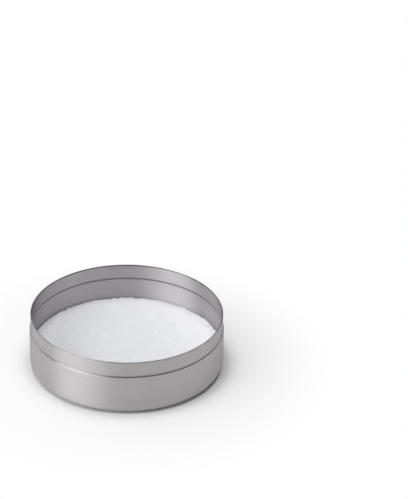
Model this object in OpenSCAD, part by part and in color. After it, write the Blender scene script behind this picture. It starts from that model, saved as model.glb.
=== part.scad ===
// Cocktail glass rimmer: a round pressed-steel dish with a necked rim, filled with a bed of
// rimming salt. Millimetres, +Z up, with the origin at the centre of the base, on the surface
// that the dish stands on. The dish is one sheet, so every bend of its inner skin has the same
// centre as the bend of its outer skin, and differs from it by the thickness of the sheet.

/* [Dish] */
// Outside diameter of the wall below the shoulder
dish_d = 140; // [100:1:200]
// Height from the surface to the rim
dish_h = 42; // [36:0.5:70]
// Thickness of the steel sheet
sheet_t = 0.7; // [0.5:0.05:1.2]
// Inside radius of the bend between the floor and the wall
floor_bend_r = 5; // [1:0.5:8]

/* [Neck] */
// Height of the neck, from the top of the shoulder to the rim
neck_h = 11; // [6:0.5:16]
// Gap all round between the neck and a cover pressed from the same sheet
cover_gap = 0.1; // [0.05:0.05:0.4]
// Inside radius of the two bends that make the shoulder
shoulder_bend_r = 0.65; // [0.4:0.05:2]

/* [Salt] */
// Depth of the salt at the wall
salt_depth = 13; // [6:0.5:18]
// Diameter of the level middle that glasses have pressed down
pressed_d = 90; // [60:1:96]
// How much lower the level middle lies than the salt at the wall
pressed_depth = 0.8; // [0.2:0.1:2]
// Gap all round between the salt and the wall
salt_gap = 0.15; // [0.1:0.05:0.5]

/* [Hidden] */

$fn = 180;

wall_r = dish_d / 2;
// The neck steps in by one sheet and the gap, so that a cover of the dish's own diameter slips
// over it and lies flush with the wall.
neck_step = sheet_t + cover_gap;
neck_r = wall_r - neck_step;

// The shoulder is two equal bends, one out of the wall and one back into the neck. Their angle
// follows from the step that they have to cover.
shoulder_mid_r = shoulder_bend_r + sheet_t / 2;
shoulder_angle = acos(1 - neck_step / (2 * shoulder_mid_r));
shoulder_h = 2 * shoulder_mid_r * sin(shoulder_angle);

neck_z = dish_h - neck_h;
wall_z = neck_z - shoulder_h;
floor_corner_r = floor_bend_r + sheet_t;
floor_r = wall_r - floor_corner_r;
rim_r = sheet_t / 2;
salt_z = sheet_t + salt_depth;

// How far the cut that hollows the dish runs past the rim
cut_over = 1;

// Half outline of the dish's skin, moved in by inset: 0 gives the outside of the sheet and
// sheet_t the inside. It runs from the floor up to top_z. The discs and blocks overlap inside
// the outline and are tangent where they meet on it.
module skin_outline(inset, top_z) {
    wall_bend_x = wall_r - shoulder_bend_r - sheet_t;
    neck_bend_x = neck_r + shoulder_bend_r;

    // Floor, the bend up into the wall, and the wall
    translate([0, inset]) square([floor_r, wall_z - inset]);
    translate([floor_r, floor_corner_r]) circle(r = floor_corner_r - inset);
    translate([0, floor_corner_r]) square([wall_r - inset, wall_z - floor_corner_r]);

    // The bend out of the wall, then the bend back into the neck. They meet on the line
    // between their two centres.
    translate([wall_bend_x, wall_z]) circle(r = shoulder_bend_r + sheet_t - inset);
    difference() {
        polygon([
            [0, floor_corner_r],
            [wall_bend_x, floor_corner_r],
            [wall_bend_x, wall_z],
            [neck_bend_x, neck_z],
            [0, neck_z]
        ]);
        translate([neck_bend_x, neck_z]) circle(r = shoulder_bend_r + inset);
    }

    translate([0, floor_corner_r]) square([neck_r - inset, top_z - floor_corner_r]);
}

// One pressed sheet, with its rim polished to a full round
module dish() {
    color("silver")
        rotate_extrude() {
            difference() {
                skin_outline(0, dish_h - rim_r);
                skin_outline(sheet_t, dish_h + cut_over);
            }
            translate([neck_r - rim_r, dish_h - rim_r]) circle(r = rim_r);
        }
}

// The salt lies on the floor, and stops short of the bends and the wall by the gap. Its top is
// level in the middle and rises to the wall.
module salt_bed() {
    color("whitesmoke")
        rotate_extrude()
            intersection() {
                union() {
                    skin_outline(sheet_t + salt_gap, dish_h);
                    translate([0, sheet_t]) square([floor_r, salt_depth]);
                }
                polygon([
                    [0, sheet_t],
                    [wall_r, sheet_t],
                    [wall_r, salt_z],
                    [pressed_d / 2, salt_z - pressed_depth],
                    [0, salt_z - pressed_depth]
                ]);
            }
}

dish();
salt_bed();
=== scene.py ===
import math

import bpy
from mathutils import Matrix, Vector


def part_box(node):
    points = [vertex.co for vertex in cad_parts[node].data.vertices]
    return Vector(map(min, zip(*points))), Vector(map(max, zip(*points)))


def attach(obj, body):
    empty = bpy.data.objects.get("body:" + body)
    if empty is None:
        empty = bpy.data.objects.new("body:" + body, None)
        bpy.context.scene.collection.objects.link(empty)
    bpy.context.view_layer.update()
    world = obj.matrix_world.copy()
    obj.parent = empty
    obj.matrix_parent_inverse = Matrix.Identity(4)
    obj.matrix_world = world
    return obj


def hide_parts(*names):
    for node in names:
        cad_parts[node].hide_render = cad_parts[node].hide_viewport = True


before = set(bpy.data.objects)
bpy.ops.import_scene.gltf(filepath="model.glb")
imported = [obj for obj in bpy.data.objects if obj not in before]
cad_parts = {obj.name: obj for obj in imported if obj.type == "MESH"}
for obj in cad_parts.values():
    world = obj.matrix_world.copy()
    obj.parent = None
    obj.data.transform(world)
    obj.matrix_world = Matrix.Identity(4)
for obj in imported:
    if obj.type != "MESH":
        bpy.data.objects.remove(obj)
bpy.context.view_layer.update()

dishLow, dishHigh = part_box("dish")
saltLow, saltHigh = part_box("salt_bed")


def radiusInside(low, high):
    # the largest circle that stays inside the box on all four sides
    return min(high.x, high.y, -low.x, -low.y)


print("frame loaded:", ", ".join(sorted(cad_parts)))


def addNode(tree, kind, inputs=None, **settings):
    node = tree.nodes.new(kind)
    for name, value in settings.items():
        setattr(node, name, value)
    for key, value in (inputs or {}).items():
        if isinstance(value, bpy.types.NodeSocket):
            tree.links.new(value, node.inputs[key])
        else:
            node.inputs[key].default_value = value
    return node


def calc(tree, operation, *values):
    return addNode(tree, "ShaderNodeMath", dict(enumerate(values)), operation=operation).outputs[0]


def combine(tree, x, y, z):
    return addNode(tree, "ShaderNodeCombineXYZ", {0: x, 1: y, 2: z}).outputs[0]


def scaleVector(tree, vector, factor):
    return addNode(tree, "ShaderNodeVectorMath", {0: vector, "Scale": factor}, operation="SCALE").outputs[0]


cameraView = {
    "depth": 1.494,                         # metres along the line of sight, to the rim's centre
    "elevation": 28.96,
    "roll": 1.34,
    "focalPixels": 2080.4,
    "rimCentrePixel": (126.95, 311.75),
    "imagePixels": (408, 499),
    "sensorWidth": 36.0,
}


def placeCamera(view):
    elevation, roll = math.radians(view["elevation"]), math.radians(view["roll"])
    forward = Vector((0, math.cos(elevation), -math.sin(elevation)))
    level = Vector((1, 0, 0))
    upright = level.cross(forward)
    right = level * math.cos(roll) + upright * math.sin(roll)
    up = upright * math.cos(roll) - level * math.sin(roll)
    wide, tall = view["imagePixels"]
    pixelX, pixelY = view["rimCentrePixel"]
    metresPerPixel = view["depth"] / view["focalPixels"]
    aside = right * (pixelX - wide / 2) * metresPerPixel - up * (pixelY - tall / 2) * metresPerPixel
    data = bpy.data.cameras.new("photoCamera")
    data.sensor_width = view["sensorWidth"]
    data.lens = view["focalPixels"] / max(wide, tall) * view["sensorWidth"]
    camera = bpy.data.objects.new("photoCamera", data)
    bpy.context.scene.collection.objects.link(camera)
    turn = Matrix((right, up, -forward)).transposed().to_4x4()
    place = Vector((0, 0, dishHigh.z)) - forward * view["depth"] - aside
    camera.matrix_world = Matrix.Translation(place) @ turn
    bpy.context.scene.camera = camera


placeCamera(cameraView)
print("camera placed")


def newGeometryTree(name, sizes):
    # sizes maps each named input to its value, a length or a count
    tree = bpy.data.node_groups.new(name, "GeometryNodeTree")
    tree.interface.new_socket("Geometry", in_out="OUTPUT", socket_type="NodeSocketGeometry")
    for label, value in sizes.items():
        kind = "NodeSocketInt" if isinstance(value, int) else "NodeSocketFloat"
        tree.interface.new_socket(label, in_out="INPUT", socket_type=kind)
    tree.interface.new_socket("Material", in_out="INPUT", socket_type="NodeSocketMaterial")
    return tree, addNode(tree, "NodeGroupInput").outputs


def meshFromTree(name, tree, sizes, material):
    # runs the tree once and keeps only its mesh
    holder = bpy.data.objects.new(name + "Holder", bpy.data.meshes.new(name + "Holder"))
    bpy.context.scene.collection.objects.link(holder)
    modifier = holder.modifiers.new("shape", "NODES")
    modifier.node_group = tree
    for socket in tree.interface.items_tree:
        if socket.in_out == "INPUT":
            modifier[socket.identifier] = material if socket.name == "Material" else sizes[socket.name]
    evaluated = holder.evaluated_get(bpy.context.evaluated_depsgraph_get())
    mesh = bpy.data.meshes.new_from_object(evaluated)
    bpy.data.objects.remove(holder)
    piece = bpy.data.objects.new(name, mesh)
    mesh.name = name
    bpy.context.scene.collection.objects.link(piece)
    return piece


def pickByIndex(tree, kind, values):
    switch = addNode(tree, "GeometryNodeIndexSwitch", data_type=kind)
    while len(switch.index_switch_items) < len(values):
        switch.index_switch_items.new()
    tree.links.new(addNode(tree, "GeometryNodeInputIndex").outputs[0], switch.inputs[0])
    for socket, value in zip(switch.inputs[1:], values):
        if isinstance(value, bpy.types.NodeSocket):
            tree.links.new(value, socket)
        else:
            socket.default_value = value
    return switch.outputs[0]


def turnedSheet(tree, corners, size):
    # turns an outline about Z. Each corner is its radius, its height and the bend that rounds it
    pathRadius = calc(tree, "MULTIPLY", size["Outer Radius"], 0.5)
    places = [combine(tree, calc(tree, "SUBTRACT", x, pathRadius), calc(tree, "MULTIPLY", z, -1.0), 0.0)
              for x, z, bend in corners]
    line = addNode(tree, "GeometryNodeMeshLine", {"Count": len(corners)})
    curve = addNode(tree, "GeometryNodeMeshToCurve", {0: line.outputs[0]})
    placed = addNode(tree, "GeometryNodeSetPosition", {
        "Geometry": curve.outputs[0], "Position": pickByIndex(tree, "VECTOR", places)})
    rounded = addNode(tree, "GeometryNodeFilletCurve", {
        "Curve": placed.outputs[0], "Count": size["Bend Steps"],
        "Radius": pickByIndex(tree, "FLOAT", [bend for x, z, bend in corners])}, mode="POLY")

    position = addNode(tree, "GeometryNodeInputPosition").outputs[0]
    nextIndex = calc(tree, "ADD", addNode(tree, "GeometryNodeInputIndex").outputs[0], 1.0)
    nextPlace = addNode(tree, "GeometryNodeFieldAtIndex", {"Index": nextIndex, "Value": position},
                        data_type="FLOAT_VECTOR").outputs[0]
    span = addNode(tree, "ShaderNodeVectorMath", {0: position, 1: nextPlace},
                   operation="DISTANCE").outputs["Value"]
    level = calc(tree, "MULTIPLY", addNode(tree, "ShaderNodeSeparateXYZ", {0: position}).outputs[1], -1.0)
    evened = addNode(tree, "GeometryNodeSubdivideCurve", {
        "Curve": rounded.outputs[0],
        "Cuts": calc(tree, "MULTIPLY", calc(tree, "FLOOR", calc(tree, "DIVIDE", span, size["Ring Spacing"])),
                     calc(tree, "GREATER_THAN", level, size["Rings Above"]))})

    across = addNode(tree, "GeometryNodeCaptureAttribute", {"Geometry": evened.outputs[0]}, domain="POINT")
    path = addNode(tree, "GeometryNodeCurvePrimitiveCircle", {
        "Resolution": size["Segments"], "Radius": pathRadius})
    around = addNode(tree, "GeometryNodeCaptureAttribute", {"Geometry": path.outputs[0]}, domain="POINT")
    factors = []
    for capture in (across, around):
        capture.capture_items.new("FLOAT", "Factor")
        tree.links.new(addNode(tree, "GeometryNodeSplineParameter").outputs["Factor"], capture.inputs[1])
        factors.append(capture.outputs[1])
    turned = addNode(tree, "GeometryNodeCurveToMesh", {
        "Curve": around.outputs[0], "Profile Curve": across.outputs[0]})
    mapped = addNode(tree, "GeometryNodeStoreNamedAttribute", {
        "Geometry": turned.outputs[0], "Name": "UVMap", "Value": combine(tree, factors[1], factors[0], 0.0)},
        data_type="FLOAT2", domain="CORNER")
    joined = addNode(tree, "GeometryNodeMergeByDistance", {"Geometry": mapped.outputs[0], "Distance": 1e-6})
    # the turning leaves the faces pointing inwards
    return addNode(tree, "GeometryNodeFlipFaces", {"Mesh": joined.outputs[0]}).outputs[0]


def endTree(tree, geometry, material):
    real = addNode(tree, "GeometryNodeRealizeInstances", {"Geometry": geometry})
    painted = addNode(tree, "GeometryNodeSetMaterial", {"Geometry": real.outputs[0], "Material": material})
    addNode(tree, "NodeGroupOutput", {0: painted.outputs[0]})


def newMaterial(name):
    material = bpy.data.materials.new(name)
    material.use_nodes = True
    tree = material.node_tree
    return material, tree, tree.nodes["Principled BSDF"]


def newShaderGroup(name, inputs, outputs):
    # inputs maps a label to its plain value, outputs a label to its socket type
    group = bpy.data.node_groups.new(name, "ShaderNodeTree")
    for label, value in inputs.items():
        socket = group.interface.new_socket(label, in_out="INPUT", socket_type="NodeSocketFloat")
        socket.default_value = value
    for label, kind in outputs.items():
        group.interface.new_socket(label, in_out="OUTPUT", socket_type=kind)
    return group, addNode(group, "NodeGroupInput").outputs


def placeGroup(tree, group, values):
    node = addNode(tree, "ShaderNodeGroup", node_tree=group)
    for label, value in values.items():
        node.inputs[label].default_value = value
    return node


def brushGrainGroup():
    # strokes that run round Z, on the wall and on the floor alike
    group, given = newShaderGroup(
        "brushGrain", {"Strokes Per Metre": 3000.0, "Stroke Turns": 2.5, "Detail": 2.0},
        {"Strokes": "NodeSocketFloat"})
    place = addNode(group, "ShaderNodeTexCoord").outputs["Object"]
    parts = addNode(group, "ShaderNodeSeparateXYZ", {0: place}).outputs
    flat = combine(group, parts[0], parts[1], 0.0)
    radius = addNode(group, "ShaderNodeVectorMath", {0: flat}, operation="LENGTH").outputs["Value"]
    heading = addNode(group, "ShaderNodeVectorMath", {0: flat}, operation="NORMALIZE").outputs[0]
    wound = scaleVector(group, heading, given["Stroke Turns"])
    around = addNode(group, "ShaderNodeSeparateXYZ", {0: wound}).outputs
    acrossStrokes = calc(group, "MULTIPLY", calc(group, "ADD", parts[2], radius), given["Strokes Per Metre"])
    strokes = addNode(group, "ShaderNodeTexNoise", {
        "Vector": combine(group, around[0], around[1], acrossStrokes),
        "Scale": 1.0, "Detail": given["Detail"]})
    addNode(group, "NodeGroupOutput", {0: strokes.outputs[0]})
    return group


def mapRange(tree, value, fromLow, fromHigh, toLow, toHigh, smooth=False):
    kind = "SMOOTHSTEP" if smooth else "LINEAR"
    return addNode(tree, "ShaderNodeMapRange", {
        "Value": value, "From Min": fromLow, "From Max": fromHigh, "To Min": toLow, "To Max": toHigh},
        interpolation_type=kind).outputs[0]


noiseLow, noiseHigh = 0.3, 0.7    # nearly all of a noise lies between these


def spreadNoise(tree, noise, toLow, toHigh):
    return mapRange(tree, noise, noiseLow, noiseHigh, toLow, toHigh)


def mixColours(tree, factor, first, second):
    mix = addNode(tree, "ShaderNodeMix", data_type="RGBA")
    for socket, value in ((mix.inputs["Factor"], factor), (mix.inputs[6], first), (mix.inputs[7], second)):
        if isinstance(value, bpy.types.NodeSocket):
            tree.links.new(value, socket)
        else:
            socket.default_value = value
    return mix.outputs[2]


dish = {
    "Outer Radius": radiusInside(dishLow, dishHigh),
    "Height": dishHigh.z,
    "Sheet": 0.0007,
    "Floor Bend": 0.005,
    "Neck Height": 0.011,
    "Cover Gap": 0.0001,
    "Shoulder Bend": 0.00065,
    "Ring Spacing": 0.003,
    "Rings Above": -0.001,
    "Bend Steps": 6,
    "Segments": 384,
}
steelLook = {
    "shade": (0.575, 0.555, 0.565, 1),
    "light": (0.62, 0.6, 0.61, 1),
    "innerShade": (0.65, 0.63, 0.64, 1),    # painted light: the inside is lighter, standing in for light that the inner wall reflects
    "innerLight": (0.7, 0.68, 0.69, 1),
    "creaseShade": (0.30, 0.28, 0.285, 1),       # painted shade in the hollow of the inner shoulder
    "hollowShade": (0.45, 0.43, 0.44, 1),        # painted shade in the hollow of the outer shoulder
    "rimLineShade": (0.24, 0.22, 0.225, 1),      # painted shade: a dark line just inside the rim
    "edgeTint": (0.62, 0.62, 0.62, 1),
    "roughness": 0.46,
    "roughnessSpread": 0.05,                # from stroke to stroke, either way
    "anisotropy": 0.9,
    "rimPolish": 0.36,
    "rimStart": 0.0005,                     # below the top, where the polish of the rim sets in
    "rimFull": 0.0003,
    "rimLineShadeFrom": 0.00015,                 # below the top
    "rimLineShadeTo": 0.001,
    "rimLineShadeFade": 0.0001,
    "bandFade": 0.0003,                     # the soft edge of the other bands
    "shoulderPolish": 0.4,
    "shoulderDrop": 0.0008,                 # from the neck to the middle of the shoulder
    "shoulderReach": 0.0011,                # half the height that the brush skips, where shade is also painted
    "grainDepth": 0.00002,
    "fineBrush": {"Strokes Per Metre": 3200.0, "Stroke Turns": 2.5, "Detail": 2.0},
    "broadBrush": {"Strokes Per Metre": 1900.0, "Stroke Turns": 4.0, "Detail": 3.0},
}


def steelMaterial(look):
    material, tree, shader = newMaterial("brushedSteel")
    group = brushGrainGroup()
    fine = placeGroup(tree, group, look["fineBrush"])
    broad = placeGroup(tree, group, look["broadBrush"])
    tone = spreadNoise(tree, broad.outputs[0], 0.0, 1.0)
    place = addNode(tree, "ShaderNodeTexCoord").outputs
    height = addNode(tree, "ShaderNodeSeparateXYZ", {0: place["Object"]}).outputs[2]
    acrossSheet = addNode(tree, "ShaderNodeSeparateXYZ", {0: place["UV"]}).outputs[1]
    outside = calc(tree, "LESS_THAN", acrossSheet, 0.5)    # the first half of the outline is the outside
    top = dish["Height"]
    rim = mapRange(tree, height, top - look["rimStart"], top - look["rimFull"], 0.0, 1.0)
    reach, fade = look["shoulderReach"], look["bandFade"]
    shoulderMiddle = top - dish["Neck Height"] - look["shoulderDrop"]
    fromShoulder = calc(tree, "ABSOLUTE", calc(tree, "SUBTRACT", height, shoulderMiddle))
    shoulder = mapRange(tree, fromShoulder, reach, reach - fade, 0.0, 1.0)
    inside = calc(tree, "SUBTRACT", 1.0, outside)
    inShoulder = calc(tree, "MULTIPLY", shoulder, inside)
    belowRim = calc(tree, "SUBTRACT", top, height)
    upper = mapRange(tree, belowRim, look["rimLineShadeFrom"], look["rimLineShadeFrom"] + look["rimLineShadeFade"], 0.0, 1.0)
    lower = mapRange(tree, belowRim, look["rimLineShadeTo"], look["rimLineShadeTo"] - fade, 0.0, 1.0)
    underRim = calc(tree, "MULTIPLY", inside, calc(tree, "MULTIPLY", upper, lower))
    aboveMiddle = mapRange(tree, calc(tree, "SUBTRACT", height, shoulderMiddle), 0.0, fade, 0.0, 1.0)
    outHollowShade = calc(tree, "MULTIPLY", calc(tree, "MULTIPLY", shoulder, outside), aboveMiddle)
    outerSkin = mixColours(tree, tone, look["shade"], look["light"])
    # painted light: a lighter copy of the steel for the inside
    litInnerSkin = mixColours(tree, tone, look["innerShade"], look["innerLight"])
    brushed = mixColours(tree, inside, outerSkin, litInnerSkin)
    # painted shade in the upper, hollow half of the outer shoulder
    hollowShaded = mixColours(tree, outHollowShade, brushed, look["hollowShade"])
    # painted shade in the hollow of the inner shoulder
    creaseShaded = mixColours(tree, inShoulder, hollowShaded, look["creaseShade"])
    # painted shade: a dark line just inside the rim
    tree.links.new(mixColours(tree, underRim, creaseShaded, look["rimLineShade"]), shader.inputs["Base Color"])
    rough, spread = look["roughness"], look["roughnessSpread"]
    worn = spreadNoise(tree, fine.outputs[0], rough - spread, rough + spread)
    outShoulder = calc(tree, "MULTIPLY", shoulder, outside)
    pressed = mapRange(tree, outShoulder, 0.0, 1.0, worn, look["shoulderPolish"])
    tree.links.new(mapRange(tree, rim, 0.0, 1.0, pressed, look["rimPolish"]), shader.inputs["Roughness"])
    bump = addNode(tree, "ShaderNodeBump", {
        "Height": fine.outputs[0], "Distance": look["grainDepth"], "Strength": 1.0})
    tree.links.new(bump.outputs[0], shader.inputs["Normal"])
    tangent = addNode(tree, "ShaderNodeTangent", direction_type="UV_MAP", uv_map="UVMap")
    tree.links.new(tangent.outputs[0], shader.inputs["Tangent"])
    shader.inputs["Metallic"].default_value = 1.0
    shader.inputs["Specular Tint"].default_value = look["edgeTint"]
    shader.inputs["Anisotropic"].default_value = look["anisotropy"]
    shader.inputs["Anisotropic Rotation"].default_value = 0.25    # gloss spreads across the strokes
    return material


def makeDish(sizes):
    tree, size = newGeometryTree("dishSheet", sizes)
    outerRadius, height, sheet = size["Outer Radius"], size["Height"], size["Sheet"]
    floorBend, shoulderBend = size["Floor Bend"], size["Shoulder Bend"]
    outerFloorBend = calc(tree, "ADD", floorBend, sheet)
    outerShoulderBend = calc(tree, "ADD", shoulderBend, sheet)
    step = calc(tree, "ADD", sheet, size["Cover Gap"])
    bends = calc(tree, "ADD", shoulderBend, outerShoulderBend)
    cosine = calc(tree, "SUBTRACT", 1.0, calc(tree, "DIVIDE", step, bends))
    turn = calc(tree, "ARCCOSINE", cosine)
    halfTangent = calc(tree, "TANGENT", calc(tree, "MULTIPLY", turn, 0.5))
    neckZ = calc(tree, "SUBTRACT", height, size["Neck Height"])
    wallZ = calc(tree, "SUBTRACT", neckZ, calc(tree, "MULTIPLY", bends, calc(tree, "SINE", turn)))
    neckRadius = calc(tree, "SUBTRACT", outerRadius, step)

    def corner(radius, inset, level, bend, side=0):
        # side lifts or drops the corner from the start of its bend to where the straight runs meet
        z = level
        if side:
            z = calc(tree, "MULTIPLY_ADD", calc(tree, "MULTIPLY", bend, halfTangent), float(side), level)
        return calc(tree, "SUBTRACT", radius, inset) if inset else radius, z, bend

    rimBend = calc(tree, "MULTIPLY", sheet, 0.5)
    corners = [
        (0.0, 0.0, 0.0),
        corner(outerRadius, None, 0.0, outerFloorBend),
        corner(outerRadius, None, wallZ, outerShoulderBend, 1),
        corner(neckRadius, None, neckZ, shoulderBend, -1),
        corner(neckRadius, None, height, rimBend),
        corner(neckRadius, sheet, height, rimBend),
        corner(neckRadius, sheet, neckZ, outerShoulderBend, -1),
        corner(outerRadius, sheet, wallZ, shoulderBend, 1),
        corner(outerRadius, sheet, sheet, floorBend),
        (0.0, sheet, 0.0),
    ]
    solid = turnedSheet(tree, corners, size)
    endTree(tree, solid, size["Material"])
    return meshFromTree("pressed_dish", tree, sizes, steelMaterial(steelLook))


pressedDish = makeDish(dish)
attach(pressedDish, "root")
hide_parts("dish")
print("dish made:", len(pressedDish.data.polygons), "faces")

saltBed = {
    "Outer Radius": radiusInside(saltLow, saltHigh),
    "Floor": saltLow.z,
    "Top": saltHigh.z,
    "Pressed Radius": 0.045,
    "Pressed Depth": 0.0008,
    "Foot Bend": dish["Floor Bend"],        # so that the salt stays inside the dish
    "Edge Bend": 0.0011,
    "Swell Size": 0.014,
    "Swell Height": 0.0004,
    "Lump Size": 0.0028,
    "Lump Height": 0.00042,
    "Ragged Width": 0.0025,
    "Ragged Height": 0.0018,
    "Ring Spacing": 0.0008,
    "Rings Above": 0.006,
    "Bend Steps": 3,
    "Segments": 400,
    "Crystals Per Square Metre": 0.9e6,
    "Smallest Crystal": 0.00018,
    "Largest Crystal": 0.00045,
    "Clear Of Wall": 0.0009,
    "Seed": 7,
}


def noiseHeight(tree, place, lumpSize, height):
    # a height that swings evenly about zero
    vector = scaleVector(tree, place, calc(tree, "DIVIDE", 1.0, lumpSize))
    noise = addNode(tree, "ShaderNodeTexNoise", {"Vector": vector, "Scale": 1.0, "Detail": 2.0}).outputs[0]
    return calc(tree, "MULTIPLY", calc(tree, "SUBTRACT", noise, 0.5), calc(tree, "MULTIPLY", height, 2.0))


def heapedSalt(tree, size):
    # the bed of salt, lumpy on top and ragged where it meets the wall
    outerRadius, floor, top = size["Outer Radius"], size["Floor"], size["Top"]
    pressedTop = calc(tree, "SUBTRACT", top, size["Pressed Depth"])
    solid = turnedSheet(tree, [
        (0.0, floor, 0.0),
        (outerRadius, floor, size["Foot Bend"]),
        (outerRadius, top, size["Edge Bend"]),
        (size["Pressed Radius"], pressedTop, 0.0),
        (0.0, pressedTop, 0.0),
    ], size)
    place = addNode(tree, "GeometryNodeInputPosition").outputs[0]
    parts = addNode(tree, "ShaderNodeSeparateXYZ", {0: place}).outputs
    flat = combine(tree, parts[0], parts[1], 0.0)
    radius = addNode(tree, "ShaderNodeVectorMath", {0: flat}, operation="LENGTH").outputs["Value"]
    topStarts = 0.85    # share of the height
    onTop = calc(tree, "GREATER_THAN", parts[2], calc(tree, "MULTIPLY", top, topStarts))
    byWall = addNode(tree, "ShaderNodeMapRange", {
        "Value": radius, "From Min": calc(tree, "SUBTRACT", outerRadius, size["Ragged Width"]),
        "From Max": outerRadius}).outputs[0]
    ragged = calc(tree, "MULTIPLY", byWall, noiseHeight(tree, flat, size["Lump Size"], size["Ragged Height"]))
    lumps = noiseHeight(tree, flat, size["Lump Size"], size["Lump Height"])
    swell = noiseHeight(tree, flat, size["Swell Size"], size["Swell Height"])
    lift = calc(tree, "MULTIPLY", onTop, calc(tree, "ADD", ragged, calc(tree, "ADD", lumps, swell)))
    lifted = addNode(tree, "GeometryNodeSetPosition", {
        "Geometry": solid, "Offset": combine(tree, 0.0, 0.0, lift)})
    return lifted.outputs[0]


def looseCrystals(tree, size, bed):
    # small cubes strewn over the top of the bed, half sunk in it
    place = addNode(tree, "GeometryNodeInputPosition").outputs[0]
    parts = addNode(tree, "ShaderNodeSeparateXYZ", {0: place}).outputs
    flat = combine(tree, parts[0], parts[1], 0.0)
    radius = addNode(tree, "ShaderNodeVectorMath", {0: flat}, operation="LENGTH").outputs["Value"]
    normal = addNode(tree, "GeometryNodeInputNormal").outputs[0]
    upward = addNode(tree, "ShaderNodeSeparateXYZ", {0: normal}).outputs[2]
    clearRadius = calc(tree, "SUBTRACT", size["Outer Radius"], size["Clear Of Wall"])
    inside = calc(tree, "LESS_THAN", radius, clearRadius)
    levelEnough = 0.5    # only faces that look up
    chosen = calc(tree, "MULTIPLY", inside, calc(tree, "GREATER_THAN", upward, levelEnough))
    points = addNode(tree, "GeometryNodeDistributePointsOnFaces", {
        "Mesh": bed, "Selection": chosen, "Density": size["Crystals Per Square Metre"], "Seed": size["Seed"]})
    cube = addNode(tree, "GeometryNodeMeshCube", {"Size": (1, 1, 1)})
    lengths = addNode(tree, "FunctionNodeRandomValue", {
        "Min": combine(tree, *[size["Smallest Crystal"]] * 3),
        "Max": combine(tree, *[size["Largest Crystal"]] * 3),
        "Seed": size["Seed"]}, data_type="FLOAT_VECTOR").outputs[0]
    turns = addNode(tree, "FunctionNodeRandomValue", {
        "Min": (0, 0, 0), "Max": (math.tau, math.tau, math.tau), "Seed": size["Seed"]},
        data_type="FLOAT_VECTOR").outputs[0]
    strewn = addNode(tree, "GeometryNodeInstanceOnPoints", {
        "Points": points.outputs[0], "Instance": cube.outputs[0], "Rotation": turns, "Scale": lengths})
    return strewn.outputs[0]


saltLook = {
    "shade": (0.775, 0.78, 0.8, 1),
    "light": (0.875, 0.88, 0.895, 1),
    "grainsPerMetre": 1500.0,
    "driftScale": 90.0,
    "bumpStrength": 0.6,
    "roughnessSpread": 0.15,
    "bed": {"roughness": 0.6, "grainDepth": 0.0003},
    "crystals": {"roughness": 0.35, "grainDepth": 0.000075},
}


def saltGrainGroup():
    # close-packed grains with a slow drift of tone over them
    group, given = newShaderGroup("saltGrain", {"Grains Per Metre": 1500.0, "Drift Scale": 90.0},
                                  {"Tone": "NodeSocketFloat", "Height": "NodeSocketFloat"})
    place = addNode(group, "ShaderNodeTexCoord").outputs["Object"]
    grains = addNode(group, "ShaderNodeTexVoronoi", {"Vector": place, "Scale": given["Grains Per Metre"]})
    drift = addNode(group, "ShaderNodeTexNoise", {
        "Vector": place, "Scale": given["Drift Scale"], "Detail": 3.0}).outputs[0]
    shade = addNode(group, "ShaderNodeSeparateColor", {0: grains.outputs["Color"]}).outputs[0]
    tone = calc(group, "ADD", calc(group, "MULTIPLY", shade, 0.5), calc(group, "MULTIPLY", drift, 0.5))
    addNode(group, "NodeGroupOutput", {0: tone, 1: calc(group, "SUBTRACT", 1.0, grains.outputs["Distance"])})
    return group


def saltMaterial(name, look, group, roughness, grainDepth):
    material, tree, shader = newMaterial(name)
    grain = placeGroup(tree, group, {
        "Grains Per Metre": look["grainsPerMetre"], "Drift Scale": look["driftScale"]})
    colour = mixColours(tree, grain.outputs["Tone"], look["shade"], look["light"])
    tree.links.new(colour, shader.inputs["Base Color"])
    spread = look["roughnessSpread"]
    tree.links.new(mapRange(tree, grain.outputs["Tone"], 0.0, 1.0, roughness - spread, roughness + spread),
                   shader.inputs["Roughness"])
    bump = addNode(tree, "ShaderNodeBump", {
        "Height": grain.outputs["Height"], "Distance": grainDepth, "Strength": look["bumpStrength"]})
    tree.links.new(bump.outputs[0], shader.inputs["Normal"])
    shader.inputs["IOR"].default_value = 1.54    # of rock salt
    return material


def makeSalt(sizes, look):
    group = saltGrainGroup()
    for name, part in (("heaped_salt", "bed"), ("loose_crystals", "crystals")):
        tree, size = newGeometryTree(name, sizes)
        geometry = heapedSalt(tree, size)
        if part == "crystals":
            geometry = looseCrystals(tree, size, geometry)
        endTree(tree, geometry, size["Material"])
        piece = meshFromTree(name, tree, sizes, saltMaterial(name, look, group, **look[part]))
        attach(piece, "root")
        if part == "bed":
            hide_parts("salt_bed")
        print(name, "made:", len(piece.data.polygons), "faces")


makeSalt(saltBed, saltLook)

sweep = {
    "radius": 3.0,
    "wallHeight": 0.4,
    "colour": (0.84, 0.84, 0.84, 1),
    "fadeFrom": 0.074,
    "fadeTo": 0.15,
}


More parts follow.
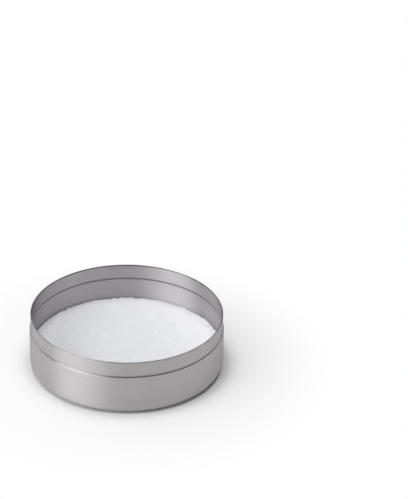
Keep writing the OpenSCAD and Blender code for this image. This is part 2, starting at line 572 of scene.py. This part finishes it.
def makeSweep(look):
    # a white floor with an upturned edge, so that low views stay white to the top of the frame
    bpy.ops.mesh.primitive_circle_add(vertices=96, radius=look["radius"], fill_type="NGON")
    floor = bpy.context.object
    floor.name = "studioSweep"
    bpy.ops.object.mode_set(mode="EDIT")
    bpy.ops.mesh.select_all(action="SELECT")
    bpy.ops.mesh.region_to_loop()
    bpy.ops.mesh.extrude_region_move(TRANSFORM_OT_translate={"value": (0, 0, look["wallHeight"])})
    bpy.ops.object.mode_set(mode="OBJECT")
    material, tree, shader = newMaterial("studioPaper")
    shader.inputs["Base Color"].default_value = look["colour"]
    shader.inputs["Roughness"].default_value = 0.9
    place = addNode(tree, "ShaderNodeTexCoord").outputs["Object"]
    distance = addNode(tree, "ShaderNodeVectorMath", {0: place}, operation="LENGTH").outputs["Value"]
    far = calc(tree, "SQRT", mapRange(tree, distance, look["fadeFrom"], look["fadeTo"], 0.0, 1.0))
    path = addNode(tree, "ShaderNodeLightPath").outputs
    seen = calc(tree, "MAXIMUM", calc(tree, "MAXIMUM", path["Is Camera Ray"], path["Is Glossy Ray"]),
                path["Is Transmission Ray"])
    white = addNode(tree, "ShaderNodeEmission", {"Color": (1, 1, 1, 1), "Strength": 1.0})
    mixed = addNode(tree, "ShaderNodeMixShader", {
        0: calc(tree, "MULTIPLY", far, seen), 1: shader.outputs[0], 2: white.outputs[0]})
    tree.links.new(mixed.outputs[0], tree.nodes["Material Output"].inputs["Surface"])
    floor.data.materials.append(material)


makeSweep(sweep)

studio = {
    "room": (0.115, 0.115, 0.118, 1),
    "keySoftbox": {
        "azimuth": -66, "elevation": 30, "distance": 1.2,
        "width": 0.7, "height": 0.66, "power": 4.7,
    },
    "keyPanel": {
        "azimuth": -37, "elevation": 30, "distance": 1.2,
        "width": 0.56, "height": 0.66, "power": 2.2,
    },
    "backPanel": {
        "azimuth": -125, "elevation": 25, "distance": 1.2,
        "width": 0.9, "height": 0.8, "power": 1.5,
    },
    "topSoftbox": {
        "azimuth": 0, "elevation": 88, "distance": 1.6,
        "width": 1.0, "height": 1.0, "power": 18.5,
    },
}


def makeWorld(look):
    world = bpy.data.worlds.new("studioRoom")
    bpy.context.scene.world = world
    world.use_nodes = True
    world.node_tree.nodes["Background"].inputs["Color"].default_value = look["room"]


def addSoftbox(name, azimuth, elevation, distance, width, height, power):
    # azimuth 0 is the camera's side, and positive to the right
    a, e = math.radians(azimuth), math.radians(elevation)
    place = Vector((math.sin(a) * math.cos(e), -math.cos(a) * math.cos(e), math.sin(e))) * distance
    data = bpy.data.lights.new(name, "AREA")
    data.shape = "RECTANGLE"
    data.size, data.size_y = width, height
    data.energy = power
    lamp = bpy.data.objects.new(name, data)
    lamp.location = place
    lamp.rotation_euler = (-place).to_track_quat("-Z", "Y").to_euler()
    lamp.visible_glossy = name != "topSoftbox"    # the steel doesn't mirror the lamp overhead
    bpy.context.scene.collection.objects.link(lamp)


makeWorld(studio)
for lampName in ("keySoftbox", "keyPanel", "backPanel", "topSoftbox"):
    addSoftbox(lampName, **studio[lampName])
bpy.context.scene.view_settings.view_transform = "Standard"
print("studio lit")
